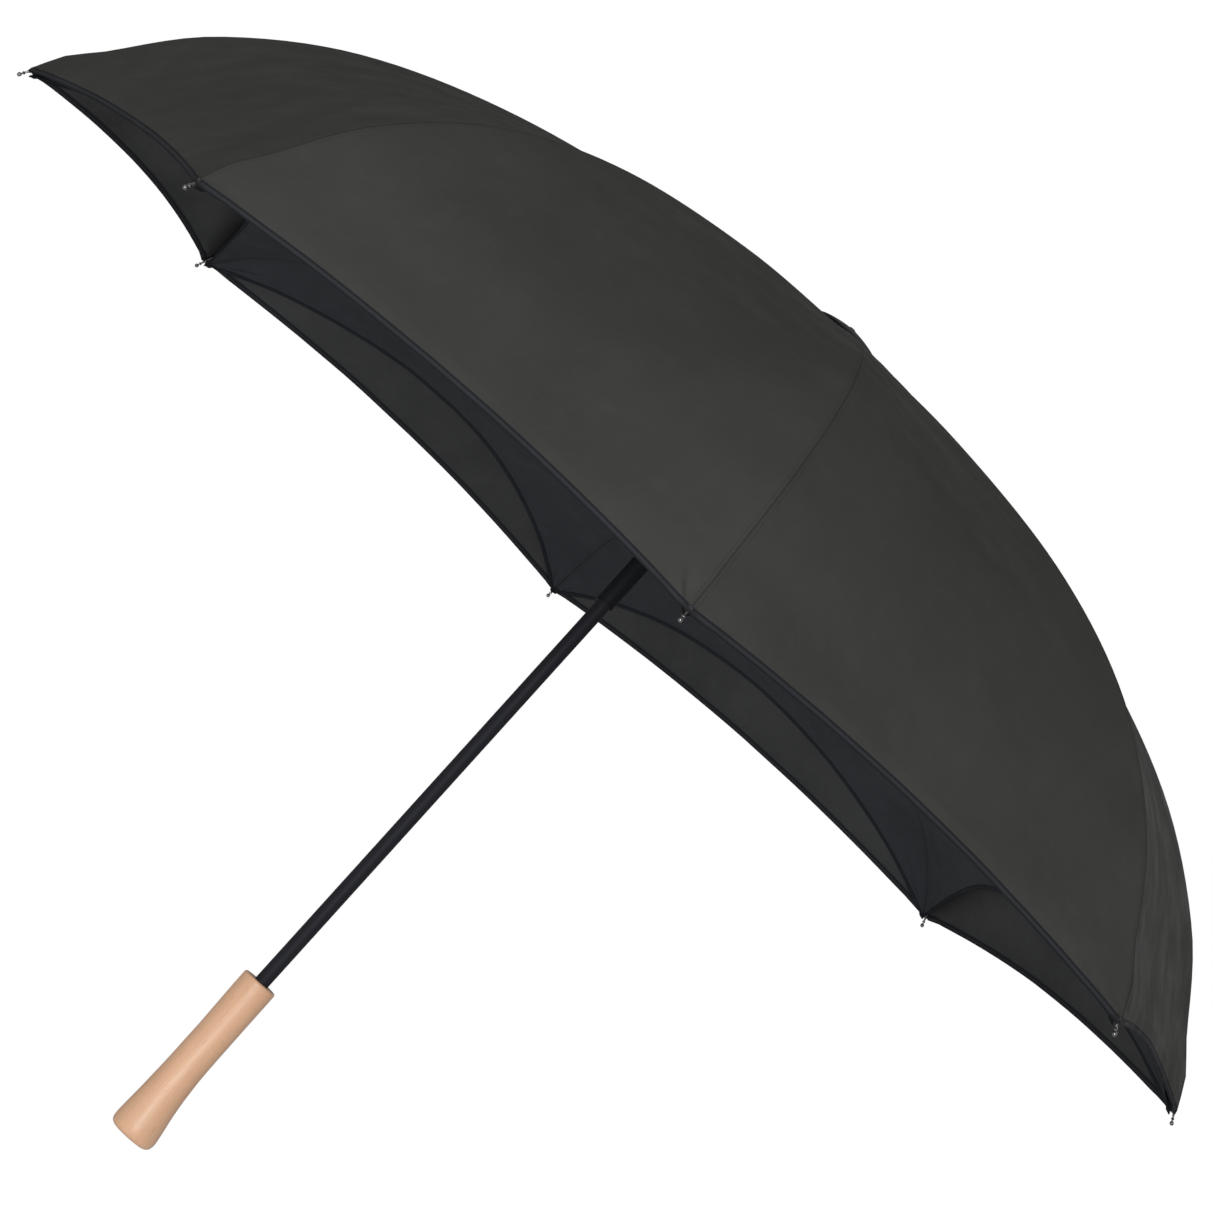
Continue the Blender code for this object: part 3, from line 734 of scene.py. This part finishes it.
def build_rods(materials, outer_line):
    """The bent rods from each rib's elbow to its tip, and the ferrule at each rod's root."""
    ball, back = tip_axis()
    stem = ball + back * ROD_END
    lead = ball + back * ROD_LEAD
    frame_middle = frame_line(outer_line)
    keep = [(r, z) for r, z in frame_middle if ELBOW_R + 0.0045 < r < stem.x - 0.030]
    stations = [keep[int(k)] for k in np.linspace(0, len(keep) - 1, 12)]
    stations += [(lead.x, lead.z), (stem.x, stem.z)]
    path = spline(stations, 60)
    bend = Vector((ROD_BEND_R, 0.0, height_at(frame_middle, ROD_BEND_R)))
    ahead = Vector((ROD_BEND_R + 0.01, 0.0, height_at(frame_middle, ROD_BEND_R + 0.01)))
    along = (ahead - bend).normalized()
    for number in range(1, RIBS + 1):
        turn = Matrix.Rotation((number - 1) * STEP, 4, "Z")
        bm = tube([(r, 0.0, z) for r, z in path], ROD_R, 12)
        bm.transform(turn)
        rod = from_bmesh(f"fibre_rod_{number}", bm, materials["fibre"])
        start, end = turn @ (bend - along * ROD_BLEND), turn @ (bend + along * ROD_BLEND)
        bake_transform(rod)
        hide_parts(f"rib_rod_{number}")
        start = Vector((path[0][0], 0.0, path[0][1]))
        ahead = Vector((path[4][0], 0.0, path[4][1]))
        direction = (ahead - start).normalized()
        places = (0.0002, 0.0010, 0.0120, 0.0128)
        bm = tube([start + direction * d for d in places], (0.0019, 0.0024, 0.0024, 0.0018), 16)
        bm.transform(turn)
        ferrule = from_bmesh(f"rod_ferrule_{number}", bm, materials["steel"])
        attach(ferrule, f"rod_{number}")


# A tip's turned shape as (radius, distance from the ball's centre back along the stem).
TIP_PROFILE = (
    (0.0000, -0.0018),
    (0.0007, -0.0016),
    (0.0012, -0.0012),
    (0.00155, -0.0004),
    (0.00155, 0.0004),
    (0.0012, 0.0011),
    (0.0007, 0.0015),
    (0.0006, 0.0022),
    (0.0008, 0.0026),
    (0.0013, 0.0029),
    (0.0013, 0.0033),
    (0.0010, 0.0037),
    (0.0008, 0.0042),
    (0.00075, 0.0048),
    (0.00085, 0.0062),
    (0.0010, 0.0078),
    (0.0013, 0.0083),
    (0.0015, 0.0088),
    (0.0016, 0.0150),
    (0.0017, 0.0229),
)


def build_tips(materials):
    """The turned tips, each with the thread that ties both canopies' corners to it."""
    ball, back = tip_axis()
    lean = Vector((0.0, 0.0, 1.0)).rotation_difference(back).to_matrix().to_4x4()
    rings = [(max(r, 0.0), z, 0.0) for r, z in spline(TIP_PROFILE, 60)]
    rings[0] = (0.0, TIP_PROFILE[0][1], 0.0)
    rings.append((0.0, TIP_PROFILE[-1][1], 0.0))
    for number in range(1, RIBS + 1):
        place = Matrix.Rotation((number - 1) * STEP, 4, "Z") @ Matrix.Translation(ball) @ lean
        bm = lathe(rings, 28)
        bm.transform(place)
        tip = from_bmesh(f"tip_cap_{number}", bm, materials["nickel"], 60.0)
        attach(tip, f"tip_{number}")
        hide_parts(f"tip_{number}")
        # three turns of thread that tie both corners to the stem
        turns, steps, radius, pitch = 3, 18, 0.00180, 0.0006
        helix = []
        for k in range(turns * steps + 1):
            t = 2.0 * math.pi * k / steps
            helix.append((radius * math.cos(t), radius * math.sin(t), 0.0092 + pitch * t / (2.0 * math.pi)))
        bm = tube(helix, 0.00030, 8)
        bm.transform(place)
        tie = from_bmesh(f"corner_tie_{number}", bm, materials["thread"])
        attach(tie, f"tip_{number}")


def smooth_rings(sections, count):
    points = spline([(z, r, shift) for z, r, shift in sections], count)
    return [(float(r), float(z), float(shift)) for z, r, shift in points]


def boolean_cut(item, boxes):
    """Cuts boxes, each given by its lowest and highest corner, out of an object's mesh."""
    bm = bmesh.new()
    for low, high in boxes:
        size = [h - l for l, h in zip(low, high)]
        middle = [(h + l) / 2.0 for l, h in zip(low, high)]
        place = Matrix.Translation(middle) @ Matrix.Diagonal((*size, 1.0))
        bmesh.ops.create_cube(bm, size=1.0, matrix=place)
    mesh = bpy.data.meshes.new("cutter")
    bm.to_mesh(mesh)
    bm.free()
    cutter = bpy.data.objects.new("cutter", mesh)
    bpy.context.scene.collection.objects.link(cutter)
    modifier = item.modifiers.new("slots", "BOOLEAN")
    modifier.operation = "DIFFERENCE"
    modifier.solver = "EXACT"
    modifier.object = cutter
    bpy.context.view_layer.update()
    cut = bpy.data.meshes.new_from_object(item.evaluated_get(bpy.context.evaluated_depsgraph_get()))
    item.modifiers.remove(modifier)
    item.data = cut
    bpy.data.objects.remove(cutter)


def placed(name, bm, material, body, node=None, sharp=35.0, cuts=()):
    """A hard piece that rides on a body and the CAD node that it stands for."""
    item = from_bmesh(name, bm, material, sharp)
    if cuts:
        boolean_cut(item, cuts)
    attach(item, body)
    if node:
        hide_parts(node)
    return item


def build_handle(materials):
    """Turned beech with a softened end, a small chamfer at the top and a bore for the shaft."""
    sides = smooth_rings(HANDLE_SECTIONS, 120)
    rings = [(0.0, 0.0, HANDLE_FLARE_SHIFT), (0.0110, 0.0, HANDLE_FLARE_SHIFT)] + sides
    rings += [(0.01400, 0.1412, -0.0007), (0.01392, 0.1421, -0.0007), (0.01368, 0.1429, -0.0007)]
    rings += [(0.01325, 0.1434, -0.0006), (0.01270, 0.1436, -0.0006)]
    rings += [(0.0069, 0.1436, 0.0), (0.0062, 0.1430, 0.0), (0.0060, 0.1420, 0.0)]
    rings += [(0.0060, SHAFT_BOTTOM - 0.0003, 0.0), (0.0, SHAFT_BOTTOM - 0.0003, 0.0)]
    placed("handle_grip", lathe(rings, 96), materials["wood"], "root", "handle", 50.0)


def build_shaft(materials):
    """Enamelled tube, slotted for the two catches."""
    rings = [(SHAFT_R, SHAFT_BOTTOM, 0.0), (SHAFT_R, SHAFT_TOP, 0.0)]
    rings += [(SHAFT_BORE_R, SHAFT_TOP, 0.0), (SHAFT_BORE_R, SHAFT_BOTTOM, 0.0)]
    slots = [((-0.0014, -0.009, z - 0.0245), (0.0014, -0.0030, z + 0.0008)) for z in CATCH_HEIGHTS]
    bm = lathe(rings, 72, closed_loop=True)
    placed("shaft_tube", bm, materials["enamel"], "root", "shaft", 40.0, slots)


def build_runner(materials):
    """The runner's sleeve, with a beaded lower rim and the low catch's window, and its collar."""
    bore = RUNNER_BORE_R
    low, top = SLEEVE_BOTTOM, COLLAR_BOTTOM - 0.0003
    rings = [
        (SLEEVE_R - 0.0004, low, 0.0),
        (SLEEVE_R + 0.0001, low + 0.0002, 0.0),
        (SLEEVE_R + 0.0003, low + 0.0008, 0.0),
        (SLEEVE_R + 0.0003, low + 0.0028, 0.0),
        (SLEEVE_R + 0.0001, low + 0.0034, 0.0),
        (SLEEVE_R, low + 0.0040, 0.0),
        (SLEEVE_R, top - 0.0006, 0.0),
        (SLEEVE_R - 0.0002, top, 0.0),
        (bore, top, 0.0),
        (bore, low, 0.0),
    ]
    window = [((-0.0014, -0.0100, low + 0.0035), (0.0014, -0.0030, low + 0.0215))]
    bm = lathe(rings, 72, closed_loop=True)
    placed("sleeve", bm, materials["plastic"], "runner", "runner_sleeve", 40.0, window)
    rings = [
        (COLLAR_R - 0.0010, COLLAR_BOTTOM, 0.0),
        (COLLAR_R - 0.0003, COLLAR_BOTTOM + 0.0003, 0.0),
        (COLLAR_R, COLLAR_BOTTOM + 0.0010, 0.0),
        (COLLAR_R, COLLAR_TOP - 0.0003, 0.0),
        (COLLAR_R - 0.0003, COLLAR_TOP, 0.0),
        (bore, COLLAR_TOP, 0.0),
        (bore, COLLAR_BOTTOM, 0.0),
    ]
    bm = lathe(rings, 72, closed_loop=True)
    placed("collar", bm, materials["plastic"], "runner", "lining_collar", 40.0)


def build_neck(materials):
    """The lining's gathered neck, drawn tight round the collar by a thread."""
    bm = bmesh.new()
    loops = []
    around, section = 192, 10
    for k in range(around):
        angle = 2.0 * math.pi * k / around
        frill = 0.00035 * math.cos(angle * COLLAR_PLEATS) + 0.0002 * math.sin(angle * 13.0 + 1.0)
        loop = []
        for s in range(section):
            t = 2.0 * math.pi * s / section
            radius = COLLAR_R + 0.0011 + (0.0008 + frill * 0.5) * math.cos(t)
            height = COLLAR_BOTTOM + 0.0020 + (0.0017 + frill) * math.sin(t)
            loop.append(bm.verts.new((radius * math.cos(angle), radius * math.sin(angle), height)))
        loops.append(loop)
    for k in range(around):
        low, high = loops[k], loops[(k + 1) % around]
        for s in range(section):
            n = (s + 1) % section
            bm.faces.new((low[s], low[n], high[n], high[s]))
    placed("lining_neck", bm, materials["lining"], "runner", None, 80.0)


def build_cap(materials, outer_line):
    """Thin moulded cap over the crown: a low dome with a small button."""

    def over(radius):
        return height_at(outer_line, radius) + 0.0003

    profile = [
        (0.0255, over(0.0255) + 0.0003),
        (0.0261, over(0.0260) + 0.0008),
        (0.0260, over(0.0260) + 0.0014),
        (0.0250, over(0.0250) + 0.0020),
        (0.0210, over(0.0210) + 0.0030),
        (0.0150, over(0.0150) + 0.0039),
        (0.0090, over(0.0090) + 0.0044),
        (0.0050, over(0.0056) + 0.0046),
        (0.0034, over(0.0056) + 0.0047),
        (0.0029, over(0.0056) + 0.0052),
        (0.0022, over(0.0056) + 0.0056),
        (0.0010, over(0.0056) + 0.0058),
    ]
    rings = [(0.0, 0.7520, 0.0), (0.0042, 0.7520, 0.0), (0.0045, 0.7528, 0.0)]
    rings.append((0.0045, over(HOLE_R) + 0.0002, 0.0))
    rings += [(float(r), float(z), 0.0) for r, z in spline(profile, 48)]
    rings.append((0.0, over(HOLE_R) + 0.0059, 0.0))
    placed("crown_cap", lathe(rings, 72), materials["plastic"], "root", "top_cap", 50.0)


def dress_frame(materials):
    """Finishes for the frame's own solids, which keep their shape."""
    finishes = {"runner_hub": "plastic", "top_notch": "plastic", "runner_stop": "steel"}
    finishes.update({"top_catch": "steel", "low_catch": "steel"})
    for number in range(1, RIBS + 1):
        finishes[f"rib_{number}"] = "steel"
        finishes[f"stretcher_{number}"] = "steel"
    for name, finish in finishes.items():
        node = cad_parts[name]
        node.data.materials.clear()
        node.data.materials.append(materials[finish])
        bevel = node.modifiers.new("edges", "BEVEL")
        bevel.width = 0.00025
        bevel.segments = 2
        bevel.limit_method = "ANGLE"
        bevel.angle_limit = math.radians(40.0)


def build_pins(materials):
    """Ring wires of the hub and the notch, and the rivets between ribs and stretchers."""
    for name, radius, height, body in (
        ("hub_wire", RIB_HINGE_R, RIB_HINGE_Z, "runner"),
        ("notch_wire", STRETCHER_HINGE_R, STRETCHER_HINGE_Z, "root"),
    ):
        turns = np.linspace(0, 2 * math.pi, 97)[:-1]
        path = [(radius * math.cos(t), radius * math.sin(t), height) for t in turns]
        bm = tube(path, HINGE_WIRE_R, 8, closed=True)
        placed(name, bm, materials["steel"], body)
    profile = [(0.0, -0.0029), (0.0012, -0.0028), (0.0019, -0.0022), (0.0020, -0.0016), (0.0012, -0.0015)]
    profile += [(0.0012, 0.0041), (0.0020, 0.0042), (0.0019, 0.0048), (0.0012, 0.0054), (0.0, 0.0055)]
    elbow_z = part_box("rib_1")[1].z - 0.0030
    for number in range(1, RIBS + 1):
        bm = lathe([(r, z, 0.0) for r, z in profile], 20)
        lay = Matrix.Rotation(-math.pi / 2.0, 4, "X")
        turn = Matrix.Rotation((number - 1) * STEP, 4, "Z")
        bm.transform(turn @ Matrix.Translation((ELBOW_R, 0.0, elbow_z)) @ lay)
        placed(f"rivet_{number}", bm, materials["steel"], f"rib_{number}")


# ---------------------------------------------------------------- studio
def build_studio():
    """A plain pale floor well below the held umbrella, a white surround and three soft lights."""
    bm = bmesh.new()
    corners = ((-1, -1), (1, -1), (1, 1), (-1, 1))
    bm.faces.new([bm.verts.new((FLOOR_HALF * x, FLOOR_HALF * y, FLOOR_Z)) for x, y in corners])
    m = Shade("pale_floor", Specular_IOR_Level=0.1)
    m.put(m.shader.inputs["Emission Color"], (1.0, 1.0, 1.0, 1.0))
    m.put(m.shader.inputs["Emission Strength"], m.math("MULTIPLY", m.add("LightPath"), FLOOR_LIFT))
    mottle = m.tint(m.noise(m.place(), 3.0, 2.0), (0.90, 0.90, 0.90), (0.93, 0.93, 0.93))
    floor_material = m.finish(mottle, 0.9)
    floor = from_bmesh("pale_floor", bm, floor_material, 0.0)
    world = bpy.data.worlds.new("studio")
    world.use_nodes = True
    background = world.node_tree.nodes["Background"]
    background.inputs["Color"].default_value = (1.0, 1.0, 1.0, 1.0)
    seen = world.node_tree.nodes.new("ShaderNodeLightPath").outputs["Is Camera Ray"]
    level = world.node_tree.nodes.new("ShaderNodeMath")
    level.operation = "MULTIPLY_ADD"
    level.inputs[1].default_value = 1.0 - SURROUND_LIGHT
    level.inputs[2].default_value = SURROUND_LIGHT
    world.node_tree.links.new(seen, level.inputs[0])
    world.node_tree.links.new(level.outputs[0], background.inputs["Strength"])
    bpy.context.scene.world = world
    for name, place, size, power in LIGHTS:
        light = bpy.data.lights.new(name, "AREA")
        light.size = size
        light.energy = power
        lamp = bpy.data.objects.new(name, light)
        lamp.location = place
        aim = Vector((0.0, 0.0, 0.45)) - Vector(place)
        lamp.rotation_euler = aim.to_track_quat("-Z", "Y").to_euler()
        bpy.context.scene.collection.objects.link(lamp)


def build_camera():
    camera = bpy.data.cameras.new("camera")
    camera.lens = CAMERA_LENS
    camera.sensor_width = 36.0
    camera.clip_end = 50.0
    item = bpy.data.objects.new("camera", camera)
    look = (CAMERA_AIM - CAMERA_AT).to_track_quat("-Z", "Y").to_matrix().to_4x4()
    item.matrix_world = Matrix.Translation(CAMERA_AT) @ look @ Matrix.Rotation(CAMERA_ROLL, 4, "Z")
    bpy.context.scene.collection.objects.link(item)
    bpy.context.scene.camera = item


def build_materials():
    black_enamel, black_plastic = (0.0100, 0.0103, 0.0130), (0.0066, 0.0070, 0.0078)
    nickel = (0.150, 0.148, 0.146)
    return {
        "outer": cloth_material("outer_cloth", *OUTSIDE),
        "underside": cloth_material("outer_underside", *UNDERSIDE),
        # seam sets how dark the painted shade in the rib seams is
        "lining": cloth_material("lining_cloth", *LINING, seam=0.60),
        "lining_back": cloth_material("lining_back", *LINING, seam=0.80),
        "wood": wood_material(),
        "enamel": enamel_material("black_enamel", black_enamel, 0.50, 0.66, 1400.0, 0.07),
        "plastic": enamel_material("black_plastic", black_plastic, 0.50, 0.66, 1900.0, 0.09),
        "thread": enamel_material("tie_thread", (0.024, 0.025, 0.029), 0.75, 0.90, 3000.0),
        "fibre": enamel_material("black_fibreglass", (0.015, 0.015, 0.016), 0.35, 0.50, 1200.0, 0.15),
        "steel": metal_material("zinc_plate", (0.33, 0.335, 0.34), 0.28, 0.50, (60.0, 60.0, 900.0)),
        "nickel": metal_material("bright_nickel", nickel, 0.08, 0.18, (500.0, 500.0, 2600.0), 0.9),
    }


def main():
    bpy.context.scene.view_settings.view_transform = "Standard"
    build_camera()
    build_studio()
    materials = build_materials()
    outer_line = rib_line(OUTER_LINE, HOLE_R)
    build_canopies(materials)
    build_rods(materials, outer_line)
    build_tips(materials)
    build_handle(materials)
    build_shaft(materials)
    build_runner(materials)
    build_neck(materials)
    build_cap(materials, outer_line)
    build_pins(materials)
    dress_frame(materials)


main()
